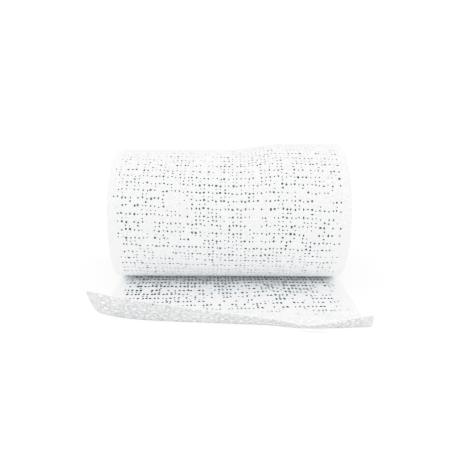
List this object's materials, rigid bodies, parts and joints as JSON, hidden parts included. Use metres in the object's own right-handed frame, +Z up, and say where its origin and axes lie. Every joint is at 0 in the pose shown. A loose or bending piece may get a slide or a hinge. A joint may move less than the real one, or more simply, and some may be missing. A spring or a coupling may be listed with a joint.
{
  "type": "plaster bandage roll",
  "caption": "Coreless roll of plaster-coated gauze lying on its side, its free end drawn out flat under it and curling up at the cut.",
  "frame": {"origin": "on the surface the roll lies on, under the roll's axis, at the middle of its width", "axes": "+X along the roll's axis, -Y the way the free end runs out, +Z up from the surface"},
  "size_m": [0.1059, 0.0929, 0.0609],
  "materials": {
    "wound_roll": "matte, powdery white plaster on open gauze",
    "loose_end": "matte, powdery white plaster on open gauze"
  },
  "bodies": {
    "root": {"wound_roll": "wound_roll", "loose_end": "loose_end"}
  },
  "joints": []
}
